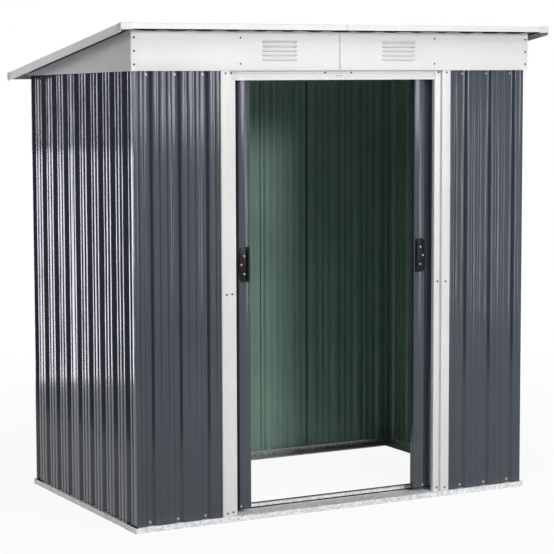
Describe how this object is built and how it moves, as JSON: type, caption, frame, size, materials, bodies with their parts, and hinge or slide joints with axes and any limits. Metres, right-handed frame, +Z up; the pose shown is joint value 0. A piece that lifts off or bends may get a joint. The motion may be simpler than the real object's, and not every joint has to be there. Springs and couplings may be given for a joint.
{
  "type": "metal storage shed",
  "caption": "Pent-roof metal garden shed with ribbed steel walls, sliding doors in one doorway, louvred fascia and a galvanised base frame.",
  "frame": {"origin": "on the ground, at the middle of the roof's outline", "axes": "+Z up, doorway faces -Y, +X to the right of someone looking at the doorway"},
  "size_m": [1.805, 1.106, 1.808],
  "materials": {
    "wall_sheet": "gloss",
    "wall_backing": "satin",
    "roof_sheet": "gloss",
    "door_sheet": "gloss",
    "white_trim": "satin",
    "galvanised_rail": "spangled zinc",
    "zinc_screw": "satin",
    "black_plastic": "moulded"
  },
  "bodies": {
    "frame": {"front_wall_left": "wall_sheet", "front_wall_right": "wall_sheet", "left_wall_front_sheet": "wall_sheet", "left_wall_back_sheet": "wall_sheet", "right_wall_front_sheet": "wall_sheet", "right_wall_back_sheet": "wall_sheet", "back_wall_left_sheet": "wall_sheet", "back_wall_right_sheet": "wall_sheet", "base_rail_front": "galvanised_rail", "base_rail_back": "galvanised_rail", "base_rail_left": "galvanised_rail", "base_rail_right": "galvanised_rail", "door_track_bottom": "galvanised_rail", "top_rail_back": "galvanised_rail", "top_rail_left": "galvanised_rail", "top_rail_right": "galvanised_rail", "roof_beam": "galvanised_rail", "door_jamb_left": "white_trim", "door_jamb_right": "white_trim", "door_header": "white_trim", "front_fascia_left": "white_trim", "front_fascia_right": "white_trim", "side_fascia_left": "white_trim", "side_fascia_right": "white_trim", "roof_trim_front_left": "white_trim", "roof_trim_front_right": "white_trim", "roof_trim_back": "white_trim", "roof_trim_left": "white_trim", "roof_trim_right": "white_trim", "roof_cap_front_left": "white_trim", "roof_cap_front_right": "white_trim", "roof_cap_back_left": "white_trim", "roof_cap_back_right": "white_trim", "roof_sheet_left": "roof_sheet", "roof_sheet_middle": "roof_sheet", "roof_sheet_right": "roof_sheet", "door_track_top": "galvanised_rail"},
    "left_door": {"left_door_panel": "door_sheet", "left_door_hanger": "galvanised_rail", "left_door_guide": "galvanised_rail", "left_door_handle": "black_plastic"},
    "right_door": {"right_door_panel": "door_sheet", "right_door_hanger": "galvanised_rail", "right_door_guide": "galvanised_rail", "right_door_handle": "black_plastic"}
  },
  "joints": [
    {"name": "left_door_slide", "type": "slide", "parent": "frame", "child": "left_door", "axis": [1, 0, 0], "range_m": [0, 0.349]},
    {"name": "right_door_slide", "type": "slide", "parent": "frame", "child": "right_door", "axis": [-1, 0, 0], "range_m": [0, 0.349]}
  ]
}
